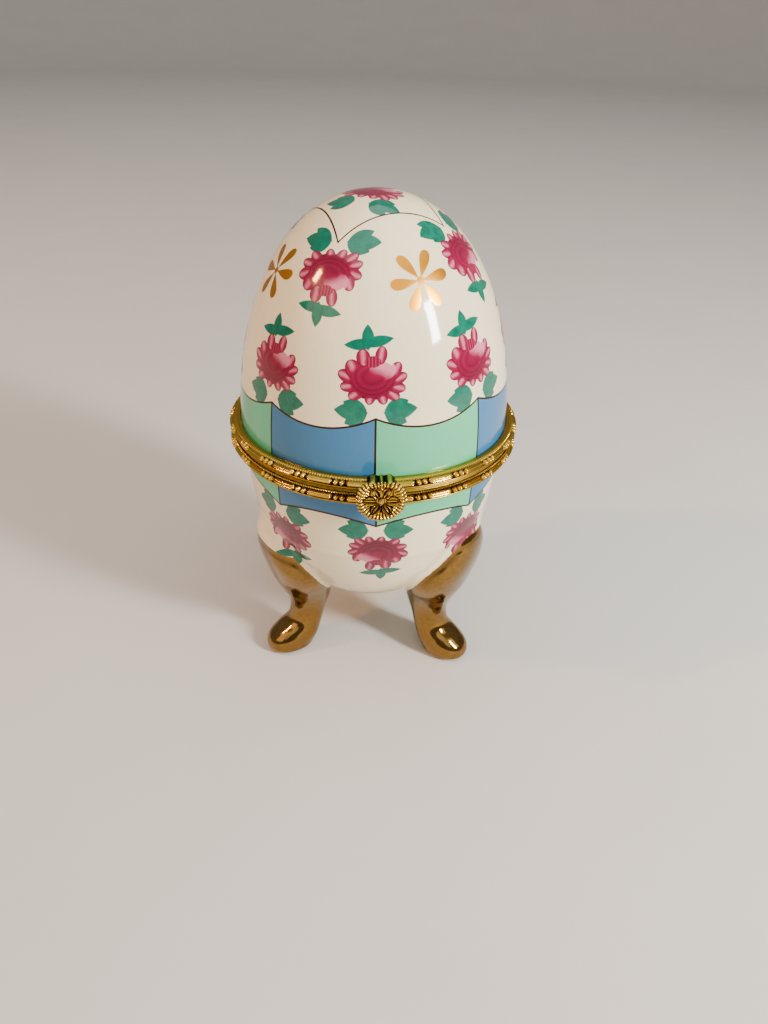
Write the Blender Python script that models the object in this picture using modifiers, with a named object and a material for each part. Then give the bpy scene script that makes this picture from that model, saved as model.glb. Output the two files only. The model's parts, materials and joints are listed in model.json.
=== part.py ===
# Porcelain egg trinket box with brass rims, a flower clasp, a back hinge and three cast legs
# Metres, +Z up. Z = 0 is the floor under the feet, the Z axis is the egg's axis,
# the clasp is in front at -Y and the hinge is behind at +Y.
import math

import bmesh
import bpy

fit_gap = 0.0003            # clearance between touching pieces

# Egg
lid_radius = 0.0294         # lid's largest outer radius
lid_rise = 0.0490           # seam to the top of the lid
lid_fullness = (2.13, 2.19) # roundness of the lid's side and of its top
bowl_inset = 0.0008         # the bowl is this much slimmer than the lid
bowl_depth = 0.0437         # seam to the underside of the bowl
bowl_fullness = (1.90, 2.69)
wall = 0.0026               # porcelain wall
ground_clearance = 0.0148   # floor to the underside of the bowl
egg_steps = 48
egg_segments = 12           # from pole to edge, outside
cavity_segments = 7         # from pole to edge, inside
pole_crowding = 1.12        # above 1 the profile's points crowd towards the edge
edge_segment = 0.0008       # shortest step of the profile at its edge

# Brass rims
lid_rim_height = 0.0024     # from the seam up to the lid rim's edge
base_rim_height = 0.0033    # from the seam down to the base rim's edge
rim_sheet = 0.0006          # flat flange that covers the porcelain's edge
rim_metal = 0.0013          # metal outside the lid's porcelain, at the plain band
rim_relief = 0.0010         # from the plain band out to the bead crests
rim_repeats = 24            # bead pairs round each rim
rim_steps_per_repeat = 3
bead_carving = (1.0, 0.4, 0.8)  # crest, notch and bar, as shares of the relief
# Strip outlines: share of the height below the upper edge, shares of metal and relief to add
lid_strip = (
    (0.00, -0.50, 0.0),
    (0.11, -0.32, 0.2),
    (0.21, -0.20, 0.0),
    (0.28, 0.0, 0.8),
    (0.43, 0.0, 1.0),
    (0.60, 0.0, 0.8),
    (0.76, 0.0, 0.0),
    (1.00, 0.0, 0.1),
)
base_strip = (
    (0.00, -0.30, 0.0),
    (0.20, -0.15, 0.0),
    (0.28, 0.0, 0.2),
    (0.37, 0.0, 0.0),
    (0.47, 0.0, 0.8),
    (0.59, 0.0, 1.0),
    (0.71, 0.0, 0.8),
    (0.82, 0.0, 0.0),
    (1.00, 0.0, 0.1),
)

# Flower clasp
clasp_radius = 0.0050
clasp_drop = 0.0004         # clasp centre below the seam
clasp_thickness = 0.0019
clasp_standoff = 0.0012     # from the beads to the clasp's flat back
clasp_flutes = 18
clasp_petals = 6
flower_rings = (0.0, 0.18, 0.26, 0.5, 0.72, 0.8, 1.0)  # shares of the radius
flower_edge = 0.5           # thickness of the edge, as a share
petal_carving = (0.62, 0.22)    # lowest front between the petals and the petals' rise, as shares
flute_carving = (0.42, 0.12)    # lowest front between the flutes and the flutes' rise, as shares
scallop_depth = 0.06        # notches in the flower's edge, as a share of its radius
tab_width = 0.0054
tab_ribs = 3
rib_depth = 0.0004
tab_overlap = 0.0006        # how deep the tab's plain body stands in the flower
tab_sheet = 0.0006          # thickness of the tab's upper end, which lies over the rim
tab_bottom = 0.0007         # tab's lower end above the seam
stud_radius = 0.0009
stud_sides = 16
stud_drop = 0.0019          # stud centre below the seam

# Hinge
hinge_width = 0.0120
leaf_inset = 0.0001         # leaf's free edge short of the rim's edge
leaf_thickness = 0.0007
leaf_segments = 6
web_thickness = 0.0011
web_overlap = 0.0003        # how deep a knuckle's web stands in its leaf
web_inset = 0.00008         # web's ends short of its knuckle's ends
knuckle_radius = 0.0013
knuckle_gap = 0.0003
knuckle_sides = 16
knuckle_count = 3
pin_radius = 0.00068
pin_clearance = 0.00007

# Legs, one every 120 degrees, turned a little from the clasp's plane as the egg was fitted
leg_count = 3
leg_turn = -5.0             # degrees about Z, from the leg straight behind
leg_sides = 14
leg_squareness = 2.2
knee_drop = 0.0201          # seam to the top of the knees
# Height as a share of the leg's, then heel radius, toe radius and half width, shares of the bowl's radius
leg_sections = (
    (0.00, 0.65, 0.92, 0.11),
    (0.02, 0.60, 0.97, 0.15),
    (0.06, 0.56, 0.99, 0.165),
    (0.105, 0.53, 0.965, 0.17),
    (0.15, 0.51, 0.90, 0.16),
    (0.205, 0.49, 0.80, 0.147),
    (0.285, 0.46, 0.76, 0.143),
    (0.39, 0.42, 0.78, 0.18),
    (0.48, 0.40, 0.84, 0.235),
    (0.57, 0.41, 0.90, 0.30),
    (0.66, 0.45, 0.94, 0.35),
    (0.755, 0.51, 0.975, 0.365),
    (0.845, 0.59, 0.995, 0.31),
    (0.925, 0.675, 0.995, 0.245),
    (0.975, 0.75, 0.98, 0.17),
    (1.00, 0.82, 0.95, 0.09),
)

seam_height = ground_clearance + bowl_depth
bowl_radius = lid_radius - bowl_inset
mouth_radius = lid_radius - wall
band_radius = lid_radius + fit_gap + rim_metal
rim_radius = band_radius + rim_relief
porcelain_edge = fit_gap / 2 + rim_sheet + fit_gap
leg_height = seam_height - knee_drop
clasp_back = -(rim_radius + clasp_standoff)
hinge_axis = (0.0, rim_radius + fit_gap + knuckle_radius, seam_height)


def clear_scene():
    for old in list(bpy.data.objects):
        bpy.data.objects.remove(old, do_unlink=True)


def make_collection(name):
    collection = bpy.data.collections.new(name)
    bpy.context.scene.collection.children.link(collection)
    return collection


def make_material(name, color, roughness, metallic):
    material = bpy.data.materials.new(name)
    material.use_nodes = True
    shader = material.node_tree.nodes["Principled BSDF"]
    shader.inputs["Base Color"].default_value = (*color, 1.0)
    shader.inputs["Roughness"].default_value = roughness
    shader.inputs["Metallic"].default_value = metallic
    material.diffuse_color = (*color, 1.0)
    return material


def add_object(name, mesh, material, collection):
    part = bpy.data.objects.new(name, mesh)
    part.data.materials.clear()
    part.data.materials.append(material)
    collection.objects.link(part)
    return part


def shade_round(mesh, angle=35.0):
    mesh.shade_smooth()
    mesh.set_sharp_from_angle(angle=math.radians(angle))


# A turned mesh: the profile, from top to bottom down its outer side, swept round the Z axis
def turned_mesh(name, profile, steps, ring=False):
    outline = bpy.data.meshes.new(name + "_profile")
    points = [(radius, 0.0, height) for radius, height in profile]
    edges = [(i, i + 1) for i in range(len(points) - 1)]
    if ring:
        edges.append((len(points) - 1, 0))
    outline.from_pydata(points, edges, [])
    guide = bpy.data.objects.new(name + "_profile", outline)
    bpy.context.scene.collection.objects.link(guide)
    screw = guide.modifiers.new("turn", "SCREW")
    screw.axis = "Z"
    screw.angle = math.tau
    screw.steps = steps
    screw.render_steps = steps
    screw.use_merge_vertices = True
    screw.merge_threshold = 0.000001
    mesh = evaluated_mesh(guide, name)
    bpy.data.objects.remove(guide, do_unlink=True)
    return mesh


def evaluated_mesh(source, name):
    bpy.context.view_layer.update()
    graph = bpy.context.evaluated_depsgraph_get()
    mesh = bpy.data.meshes.new_from_object(source.evaluated_get(graph))
    mesh.name = name
    return mesh


# A quarter of a superellipse: radius and rise from the equator, share 0, to the pole, share 1
def egg_curve(radius, rise, fullness, share):
    angle = share * math.pi / 2
    side, top = fullness
    across = radius * max(math.cos(angle), 0.0) ** (2 / side)
    along = rise * math.sin(angle) ** (2 / top)
    return across, along


# Points of a half egg from its pole to its open edge, which stands clear of the seam
def half_egg(radius, rise, fullness, segments, direction):
    points = []
    for i in range(segments, 0, -1):
        across, along = egg_curve(radius, rise, fullness, (i / segments) ** pole_crowding)
        if along > porcelain_edge + edge_segment:
            points.append((across, seam_height + direction * along))
    points[0] = (0.0, points[0][1])
    angle = math.asin((porcelain_edge / rise) ** (fullness[1] / 2))
    mouth = radius * math.cos(angle) ** (2 / fullness[0])
    points.append((mouth, seam_height + direction * porcelain_edge))
    return points


def make_lid_shell(material, collection):
    outer = half_egg(lid_radius, lid_rise, lid_fullness, egg_segments, 1)
    inner = half_egg(lid_radius - wall, lid_rise - wall, lid_fullness, cavity_segments, 1)
    mesh = turned_mesh("lid_shell", outer + inner[::-1], egg_steps)
    shade_round(mesh)
    return add_object("lid_shell", mesh, material, collection)


# One horizontal section of a leg, a rounded oval that reaches from heel to toe
def leg_section(height, heel, toe, half_width):
    centre = bowl_radius * (heel + toe) / 2
    reach = bowl_radius * (toe - heel) / 2
    power = 2 / leg_squareness
    points = []
    for i in range(leg_sides):
        angle = math.tau * i / leg_sides
        along = math.copysign(abs(math.cos(angle)) ** power, math.cos(angle))
        across = math.copysign(abs(math.sin(angle)) ** power, math.sin(angle))
        point = (across * half_width * bowl_radius, centre + along * reach, height * leg_height)
        points.append(point)
    return points


# A leg lofted through its sections, standing at +Y
def leg_mesh():
    mesh = bpy.data.meshes.new("leg")
    build = bmesh.new()
    rings = [[build.verts.new(p) for p in leg_section(*section)] for section in leg_sections]
    for lower, upper in zip(rings, rings[1:]):
        for i in range(leg_sides):
            j = (i + 1) % leg_sides
            build.faces.new((lower[j], lower[i], upper[i], upper[j]))
    build.faces.new(rings[0])
    build.faces.new(rings[-1][::-1])
    bmesh.ops.recalc_face_normals(build, faces=build.faces)
    build.to_mesh(mesh)
    build.free()
    return mesh


def add_cutter(name, mesh, cutters):
    cutter = bpy.data.objects.new(name, mesh)
    cutter.hide_render = True
    cutter.display_type = "WIRE"
    cutters.objects.link(cutter)
    return cutter


def add_boolean(part, cutter, operation):
    modifier = part.modifiers.new(cutter.name, "BOOLEAN")
    modifier.operation = operation
    modifier.solver = "EXACT"
    modifier.object = cutter
    return modifier


def make_base_bowl(material, collection, cutters):
    outer = half_egg(bowl_radius, bowl_depth, bowl_fullness, egg_segments, -1)[::-1]
    solid = turned_mesh("base_bowl", [(0.0, outer[0][1])] + outer, egg_steps)
    shade_round(solid)
    bowl = add_object("base_bowl", solid, material, collection)
    shape = leg_mesh()
    for i in range(leg_count):
        leg = add_cutter(f"leg_{i + 1}", shape, cutters)
        leg.rotation_euler.z = math.radians(360 * i / leg_count + leg_turn)
        add_boolean(bowl, leg, "UNION")
    inner = half_egg(bowl_radius - wall, bowl_depth - wall, bowl_fullness, cavity_segments, -1)[::-1]
    above_mouth = seam_height + wall
    mouth = [(0.0, above_mouth), (inner[0][0], above_mouth)]
    cavity = add_cutter("bowl_cavity", turned_mesh("bowl_cavity", mouth + inner, egg_steps), cutters)
    add_boolean(bowl, cavity, "DIFFERENCE")
    return bowl


# Outside of a rim's strip from its upper edge down: milled line, beads, lip
def strip_outside(outline, top, bottom):
    outside = []
    for share, metal, relief in outline:
        radius = band_radius + metal * rim_metal + relief * rim_relief
        outside.append((radius, top - share * (top - bottom)))
    return outside


# Each crest outside the band is lowered to its share of the relief for that step round the rim
def carve_beads(mesh):
    for vertex in mesh.vertices:
        radius = math.hypot(vertex.co.x, vertex.co.y)
        if radius > band_radius + rim_relief / 2:
            turn = math.atan2(vertex.co.y, vertex.co.x) / math.tau
            step = round(turn * rim_repeats * rim_steps_per_repeat) % rim_steps_per_repeat
            carved = band_radius + (radius - band_radius) * bead_carving[step]
            vertex.co.x *= carved / radius
            vertex.co.y *= carved / radius


# The lid's rim has its flange at the bottom and the base's rim at the top, both next to the seam
def make_rim(name, egg_radius, side, height, outline, material, collection):
    near = seam_height + side * fit_gap / 2
    far = seam_height + side * height
    flange = near + side * rim_sheet
    seat = egg_radius + fit_gap
    inside = [(mouth_radius, near), (mouth_radius, flange), (seat, flange), (seat, far)]
    if side < 0:
        inside.reverse()
    profile = strip_outside(outline, max(near, far), min(near, far)) + inside
    mesh = turned_mesh(name, profile, rim_repeats * rim_steps_per_repeat, ring=True)
    carve_beads(mesh)
    shade_round(mesh)
    return add_object(name, mesh, material, collection)


# Height of the flower over its back, as a share: boss, petals, then the fluted edge
def flower_height(share, angle):
    petal = 0.5 + 0.5 * math.cos(clasp_petals * angle)
    flute = 0.5 + 0.5 * math.cos(clasp_flutes * angle)
    if share < flower_rings[2]:
        return 1.0
    if share < flower_rings[5]:
        return petal_carving[0] + petal_carving[1] * petal
    return flute_carving[0] + flute_carving[1] * flute


# A turned disc whose front is carved by flower_height and whose edge is scalloped by the flutes
def flower_mesh():
    profile = [(clasp_radius * share, clasp_thickness) for share in flower_rings]
    profile.append((clasp_radius, 0.0))
    profile.append((0.0, 0.0))
    mesh = turned_mesh("flower", profile, 2 * clasp_flutes)
    for vertex in mesh.vertices:
        radius = math.hypot(vertex.co.x, vertex.co.y)
        angle = math.atan2(vertex.co.y, vertex.co.x)
        if vertex.co.z > clasp_thickness * flower_edge:
            vertex.co.z = clasp_thickness * flower_height(radius / clasp_radius, angle)
        if radius > clasp_radius * (flower_rings[-2] + flower_rings[-1]) / 2:
            scallop = 1 - scallop_depth * (1 - math.cos(clasp_flutes * angle)) / 2
            vertex.co.x *= scallop
            vertex.co.y *= scallop
    return mesh


# A flat outline seen from above, raised from one height to another
def upright_mesh(name, outline, low, high):
    mesh = bpy.data.meshes.new(name)
    build = bmesh.new()
    face = build.faces.new([build.verts.new((x, y, low)) for x, y in outline])
    rise = bmesh.ops.extrude_face_region(build, geom=[face])
    moved = [item for item in rise["geom"] if isinstance(item, bmesh.types.BMVert)]
    bmesh.ops.translate(build, verts=moved, vec=(0.0, 0.0, high - low))
    bmesh.ops.recalc_face_normals(build, faces=build.faces)
    build.to_mesh(mesh)
    build.free()
    return mesh


# The tab seen from above, from a place behind to its ribbed front, which ends inside the flower
def tab_outline(back):
    front = clasp_back - tab_overlap
    outline = [(tab_width / 2, back), (-tab_width / 2, back)]
    count = 4 * tab_ribs
    for i in range(count + 1):
        share = i / count
        rib = abs(math.sin(math.pi * tab_ribs * share))
        outline.append((tab_width * (share - 0.5), front - rib_depth * rib))
    return outline


def make_flower_clasp(material, collection, cutters):
    clasp = add_object("flower_clasp", flower_mesh(), material, collection)
    clasp.location = (0.0, clasp_back, seam_height - clasp_drop)
    clasp.rotation_euler = (math.pi / 2, 0.0, 0.0)
    low = seam_height + tab_bottom
    over_rim = seam_height + lid_rim_height + fit_gap
    front = upright_mesh("tab_front", tab_outline(-(rim_radius + fit_gap)), low, over_rim)
    add_boolean(clasp, add_cutter("tab_front", front, cutters), "UNION")
    top = upright_mesh("tab_top", tab_outline(-(lid_radius + fit_gap)), over_rim, over_rim + tab_sheet)
    add_boolean(clasp, add_cutter("tab_top", top, cutters), "UNION")
    return clasp


def cylinder_mesh(name, radius, length, sides):
    mesh = bpy.data.meshes.new(name)
    build = bmesh.new()
    bmesh.ops.create_cone(
        build,
        cap_ends=True,
        segments=sides,
        radius1=radius,
        radius2=radius,
        depth=length,
    )
    build.to_mesh(mesh)
    build.free()
    return mesh


# A low stud on the base's rim, standing clear of the clasp's back
def make_clasp_stud(material, collection):
    length = clasp_standoff - 2 * fit_gap
    mesh = cylinder_mesh("clasp_stud", stud_radius, length, stud_sides)
    shade_round(mesh)
    stud = add_object("clasp_stud", mesh, material, collection)
    stud.location = (0.0, -(rim_radius + fit_gap + length / 2), seam_height - stud_drop)
    stud.rotation_euler = (math.pi / 2, 0.0, 0.0)
    return stud


# Knuckle spans along X, those of the base outermost
def knuckle_spans():
    length = (hinge_width - (knuckle_count - 1) * knuckle_gap) / knuckle_count
    starts = [-hinge_width / 2 + i * (length + knuckle_gap) for i in range(knuckle_count)]
    return [(start, start + length) for start in starts]


# A strip seen from above that follows the rim behind, between two places along X
def bent_outline(start, end, thickness):
    inner = rim_radius + fit_gap
    outline = []
    for radius, order in ((inner, 1), (inner + thickness, -1)):
        for i in range(leaf_segments + 1)[::order]:
            x = start + (end - start) * i / leaf_segments
            angle = math.asin(x / inner)
            outline.append((radius * math.sin(angle), radius * math.cos(angle)))
    return outline


def add_barrel(name, span, radius, cutters):
    start, end = span
    barrel = add_cutter(name, cylinder_mesh(name, radius, end - start, knuckle_sides), cutters)
    barrel.location = ((start + end) / 2, hinge_axis[1], hinge_axis[2])
    barrel.rotation_euler = (0.0, math.pi / 2, 0.0)
    return barrel


# A leaf bent round the rim, with its own knuckles joined on by webs and bored for the pin
def make_hinge_leaf(name, spans, side, rim_height, material, collection, cutters):
    clear = knuckle_radius + knuckle_gap
    near, far = sorted((side * clear, side * (rim_height - leaf_inset)))
    outline = bent_outline(-hinge_width / 2, hinge_width / 2, leaf_thickness)
    mesh = upright_mesh(name, outline, seam_height + near, seam_height + far)
    leaf = add_object(name, mesh, material, collection)
    for i, (start, end) in enumerate(spans):
        low, high = sorted((0.0, side * (clear + web_overlap)))
        outline = bent_outline(start + web_inset, end - web_inset, web_thickness)
        shape = upright_mesh("web", outline, seam_height + low, seam_height + high)
        add_boolean(leaf, add_cutter(f"{name}_web_{i}", shape, cutters), "UNION")
        barrel = add_barrel(f"{name}_knuckle_{i}", (start, end), knuckle_radius, cutters)
        add_boolean(leaf, barrel, "UNION")
    bore = add_barrel(f"{name}_bore", (-hinge_width, hinge_width), pin_radius + pin_clearance, cutters)
    add_boolean(leaf, bore, "DIFFERENCE")
    return leaf


def make_hinge_pin(material, collection):
    mesh = cylinder_mesh("hinge_pin", pin_radius, hinge_width + 2 * fit_gap, knuckle_sides)
    shade_round(mesh)
    pin = add_object("hinge_pin", mesh, material, collection)
    pin.location = hinge_axis
    pin.rotation_euler = (0.0, math.pi / 2, 0.0)
    return pin


# The lid's pieces hang on an empty at the pin, so that turning it about X opens the box
def hang_on_hinge(pieces, collection):
    pivot = bpy.data.objects.new("lid_pivot", None)
    pivot.location = hinge_axis
    collection.objects.link(pivot)
    bpy.context.view_layer.update()
    for piece in pieces:
        piece.parent = pivot
        piece.matrix_parent_inverse = pivot.matrix_world.inverted()


def build_egg_box():
    clear_scene()
    parts = make_collection("egg_trinket_box")
    cutters = make_collection("cutters")
    porcelain = make_material("porcelain", (0.86, 0.82, 0.76), 0.12, 0.0)
    gilded = make_material("gilded_porcelain", (0.80, 0.72, 0.60), 0.12, 0.0)
    brass = make_material("rim_brass", (0.80, 0.58, 0.22), 0.22, 1.0)
    clasp_brass = make_material("clasp_brass", (0.78, 0.56, 0.20), 0.25, 1.0)
    hinge_brass = make_material("hinge_brass", (0.76, 0.55, 0.22), 0.30, 1.0)
    lid = make_lid_shell(porcelain, parts)
    make_base_bowl(gilded, parts, cutters)
    lid_rim = make_rim("lid_rim", lid_radius, 1, lid_rim_height, lid_strip, brass, parts)
    make_rim("base_rim", bowl_radius, -1, base_rim_height, base_strip, brass, parts)
    clasp = make_flower_clasp(clasp_brass, parts, cutters)
    make_clasp_stud(clasp_brass, parts)
    spans = knuckle_spans()
    leaf_place = (hinge_brass, parts, cutters)
    lid_leaf = make_hinge_leaf("lid_hinge_leaf", spans[1::2], 1, lid_rim_height, *leaf_place)
    make_hinge_leaf("base_hinge_leaf", spans[0::2], -1, base_rim_height, *leaf_place)
    make_hinge_pin(hinge_brass, parts)
    hang_on_hinge([lid, lid_rim, clasp, lid_leaf], parts)


build_egg_box()
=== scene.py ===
import json
import math

import bmesh
import bpy
import numpy as np
from mathutils import Matrix, Vector


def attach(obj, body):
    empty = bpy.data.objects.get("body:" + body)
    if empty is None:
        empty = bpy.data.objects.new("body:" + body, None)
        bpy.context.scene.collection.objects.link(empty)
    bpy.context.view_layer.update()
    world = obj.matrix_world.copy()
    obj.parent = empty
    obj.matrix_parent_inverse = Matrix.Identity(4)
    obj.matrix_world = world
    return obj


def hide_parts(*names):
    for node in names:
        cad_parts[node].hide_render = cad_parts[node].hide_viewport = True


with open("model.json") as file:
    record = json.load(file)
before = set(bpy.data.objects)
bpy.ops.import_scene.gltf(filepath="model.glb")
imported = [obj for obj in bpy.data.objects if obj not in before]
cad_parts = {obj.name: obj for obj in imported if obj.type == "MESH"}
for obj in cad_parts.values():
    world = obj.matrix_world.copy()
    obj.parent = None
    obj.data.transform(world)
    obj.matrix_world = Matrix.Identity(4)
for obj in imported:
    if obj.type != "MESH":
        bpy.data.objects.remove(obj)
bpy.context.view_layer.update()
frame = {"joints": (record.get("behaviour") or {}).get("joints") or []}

# Porcelain egg trinket box: glazed shells with printed flowers, brass rims, flower clasp, hinge.
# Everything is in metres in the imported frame: +Z up, the clasp in front at -Y, the hinge behind.
# Shapes use metres; the printed pattern is laid out in millimetres on the egg's surface.

mm = 0.001
seam = frame["joints"][0]["pos_m"][2]  # height where the lid meets the base
hingeY = frame["joints"][0]["pos_m"][1]  # the pin's distance behind the egg's axis

# Driving sizes of the egg and its metalwork, the same as the solids'
egg = {
    "lidRadius": 29.4 * mm,
    "lidRise": 49.0 * mm,
    "lidFullness": (2.13, 2.19),
    "bowlRadius": 28.6 * mm,
    "bowlDepth": 43.7 * mm,
    "bowlFullness": (1.90, 2.69),
    "wall": 2.6 * mm,
    "edge": 1.05 * mm,  # porcelain's edge, from the seam
}
lidHalf = (egg["lidRadius"], egg["lidRise"], egg["lidFullness"])
bowlHalf = (egg["bowlRadius"], egg["bowlDepth"], egg["bowlFullness"])


# MESHES

# One mesh from a grid of points, rows by columns. Each cell is a face. A first or last row whose
# points all meet becomes one vertex with triangles round it. Faces are turned outwards at the end,
# by the sign of the volume that they enclose.
def gridMesh(name, points, wrapRows=False, wrapColumns=True, values=None):
    rows, columns = points.shape[:2]
    number = np.arange(rows * columns).reshape(rows, columns)
    if not wrapRows:
        for row in (0, rows - 1):
            if np.ptp(points[row], axis=0).max() < 1e-9:
                number[row] = number[row, 0]
    if wrapColumns:
        number = np.concatenate([number, number[:, :1]], 1)
    if wrapRows:
        number = np.concatenate([number, number[:1]], 0)
    corners = (number[:-1, :-1], number[:-1, 1:], number[1:, 1:], number[1:, :-1])
    quads = np.stack([corner.ravel() for corner in corners], 1)
    firstPole = quads[:, 0] == quads[:, 1]
    lastPole = quads[:, 2] == quads[:, 3]
    triangles = np.concatenate([quads[firstPole][:, [0, 2, 3]], quads[lastPole][:, [0, 1, 2]]])
    quads = quads[~(firstPole | lastPole)]
    flat = points.reshape(-1, 3)
    halves = np.concatenate([quads[:, :3], quads[:, [0, 2, 3]], triangles])
    a, b, c = flat[halves[:, 0]], flat[halves[:, 1]], flat[halves[:, 2]]
    if np.einsum("ij,ij->", a, np.cross(b, c)) < 0:
        quads, triangles = quads[:, ::-1], triangles[:, ::-1]
    used = np.unique(np.concatenate([quads.ravel(), triangles.ravel()]))
    order = np.zeros(len(flat), int)
    order[used] = np.arange(len(used))
    mesh = bpy.data.meshes.new(name)
    mesh.from_pydata(flat[used].tolist(), [], order[quads].tolist() + order[triangles].tolist())
    for key, array in (values or {}).items():
        setValues(mesh, key, array.ravel()[used])
    return mesh


# Stores one number per vertex under a name that the materials read
def setValues(mesh, key, array):
    layer = mesh.attributes.new(key, "FLOAT", "POINT")
    layer.data.foreach_set("value", np.ascontiguousarray(array, np.float32))


def readPoints(mesh):
    flat = np.zeros(len(mesh.vertices) * 3, np.float32)
    mesh.vertices.foreach_get("co", flat)
    return flat.reshape(-1, 3).astype(float)


def writePoints(mesh, points):
    mesh.vertices.foreach_set("co", points.astype(np.float32).ravel())
    mesh.update()


# Sweeps a profile of (radius, height) pairs round an axis: in each step of the circle the radius
# is laid off across the axis and the height along it
def turned(profile, steps, across=(1, 0, 0), side=(0, 1, 0), along=(0, 0, 1), place=(0, 0, 0)):
    angle = np.linspace(0, math.tau, steps, endpoint=False)
    ring = np.cos(angle)[:, None] * np.array(across) + np.sin(angle)[:, None] * np.array(side)
    radius, height = np.array(profile).T
    return radius[:, None, None] * ring + height[:, None, None] * np.array(along) + np.array(place)


# Points turned about the Z axis
def rotated(points, angle):
    c, s = math.cos(angle), math.sin(angle)
    x, y, z = np.moveaxis(points, -1, 0)
    return np.stack([x * c - y * s, x * s + y * c, z], -1)


# The unit superellipse at given angles: cosine and sine, each raised to two over its power
def superOval(angle, power):
    return [np.sign(part) * np.abs(part) ** (2 / power) for part in (np.cos(angle), np.sin(angle))]


# Rows of points with a pole before the first and after the last, in the middle of each
def closeEnds(points):
    poles = [np.repeat(points[row].mean(0)[None], points.shape[1], 0)[None] for row in (0, -1)]
    return np.concatenate([poles[0], points, poles[1]])


# How fast a distance changes along X, Y and Z, from its values a small step to either side
def slopeOf(distance, points):
    step = 0.02 * mm
    rises = [distance(points + step * axis) - distance(points - step * axis) for axis in np.eye(3)]
    return np.stack(rises, 1) / (2 * step)


# Adds a finished piece to the scene and ties it to the frame
def addPiece(name, mesh, material, body, nodes, sharp=50):
    piece = bpy.data.objects.new(name, mesh)
    bpy.context.scene.collection.objects.link(piece)
    mesh.materials.clear()
    mesh.materials.append(material)
    mesh.shade_smooth()
    mesh.set_sharp_from_angle(angle=math.radians(sharp))
    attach(piece, body)
    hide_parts(*nodes)
    print("piece", name, len(mesh.polygons), "faces")
    return piece


# Joins closed meshes into the first one, or cuts them from it
def combine(mesh, others, operation):
    base = bpy.data.objects.new("combineBase", mesh)
    bpy.context.scene.collection.objects.link(base)
    tools = []
    for other in others:
        tool = bpy.data.objects.new("combineTool", other)
        bpy.context.scene.collection.objects.link(tool)
        modifier = base.modifiers.new("combine", "BOOLEAN")
        modifier.operation = operation
        modifier.solver = "MANIFOLD"
        modifier.object = tool
        tools.append(tool)
    bpy.context.view_layer.update()
    graph = bpy.context.evaluated_depsgraph_get()
    result = bpy.data.meshes.new_from_object(base.evaluated_get(graph))
    for used in [base, *tools]:
        bpy.data.objects.remove(used, do_unlink=True)
    return result


# A smooth curve through a table's rows, read at any place: cubic pieces whose slopes come from
# the neighbouring rows
def smoothTable(place, knots, values):
    knots, values = np.array(knots, float), np.array(values, float)
    slopes = np.gradient(values, knots)
    i = np.clip(np.searchsorted(knots, place) - 1, 0, len(knots) - 2)
    gap = knots[i + 1] - knots[i]
    t = np.clip((place - knots[i]) / gap, 0, 1)
    start, end = values[i], values[i + 1]
    return (
        start * (2 * t**3 - 3 * t**2 + 1)
        + end * (3 * t**2 - 2 * t**3)
        + slopes[i] * gap * (t**3 - 2 * t**2 + t)
        + slopes[i + 1] * gap * (t**3 - t**2)
    )


# MATERIAL EXPRESSIONS

# Wraps one socket, so that arithmetic on it adds Math nodes
class Signal:
    def __init__(self, tree, socket=None):
        self.tree = tree
        self.socket = socket

    # Any node: its settings come first, then the values or links of its sockets
    def make(self, kind, settings=None, sockets=None, output=0):
        node = self.tree.nodes.new(kind)
        for key, value in (settings or {}).items():
            if key == "stops":
                setStops(node.color_ramp, value)
            else:
                setattr(node, key, value)
        for key, value in (sockets or {}).items():
            if isinstance(value, Signal):
                self.tree.links.new(value.socket, node.inputs[key])
            else:
                node.inputs[key].default_value = value
        return Signal(self.tree, node.outputs[output])

    def math(self, operation, *values):
        return self.make("ShaderNodeMath", {"operation": operation}, dict(enumerate(values)))

    def __add__(self, other):
        return self.math("ADD", self, other)

    def __sub__(self, other):
        return self.math("SUBTRACT", self, other)

    def __rsub__(self, other):
        return self.math("SUBTRACT", other, self)

    def __mul__(self, other):
        return self.math("MULTIPLY", self, other)

    def __truediv__(self, other):
        return self.math("DIVIDE", self, other)

    def __rtruediv__(self, other):
        return self.math("DIVIDE", other, self)

    def __neg__(self):
        return self.math("MULTIPLY", self, -1.0)

    def __abs__(self):
        return self.math("ABSOLUTE", self)

    def __pow__(self, other):
        return self.math("POWER", self, other)

    __radd__ = __add__
    __rmul__ = __mul__

    def upper(self, other):
        return self.math("MAXIMUM", self, other)

    def lower(self, other):
        return self.math("MINIMUM", self, other)

    # 0 below low, 1 above high, with a soft step between them
    def rise(self, low, high):
        sockets = {"Value": self, "From Min": low, "From Max": high}
        return self.make("ShaderNodeMapRange", {"interpolation_type": "SMOOTHSTEP"}, sockets)

    # this many times a number, plus another value
    def times(self, factor, plus):
        return self.math("MULTIPLY_ADD", self, factor, plus)

    # the distance to the nearest multiple of a period, with its sign
    def fold(self, period):
        return self - period * self.math("ROUND", self / period)

    # number a where this is 0, number b where it is 1
    def blend(self, a, b):
        return self.make("ShaderNodeMix", {"data_type": "FLOAT"}, {0: self, 2: a, 3: b})

    # colour a where this is 0, colour b where it is 1
    def mix(self, a, b):
        return self.make("ShaderNodeMix", {"data_type": "RGBA"}, {0: self, 6: a, 7: b}, 2)

    def ramp(self, *stops):
        return self.make("ShaderNodeValToRGB", {"stops": stops}, {"Fac": self})


def setStops(ramp, stops):
    while len(ramp.elements) < len(stops):
        ramp.elements.new(1.0)
    for element, (place, color) in zip(ramp.elements, stops):
        element.position = place
        element.color = color


# A colour as seen on screen, 0 to 255, turned into the linear value that the shader takes
def tint(red, green, blue):
    return (*(((c / 255 + 0.055) / 1.055) ** 2.4 for c in (red, green, blue)), 1.0)


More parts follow.
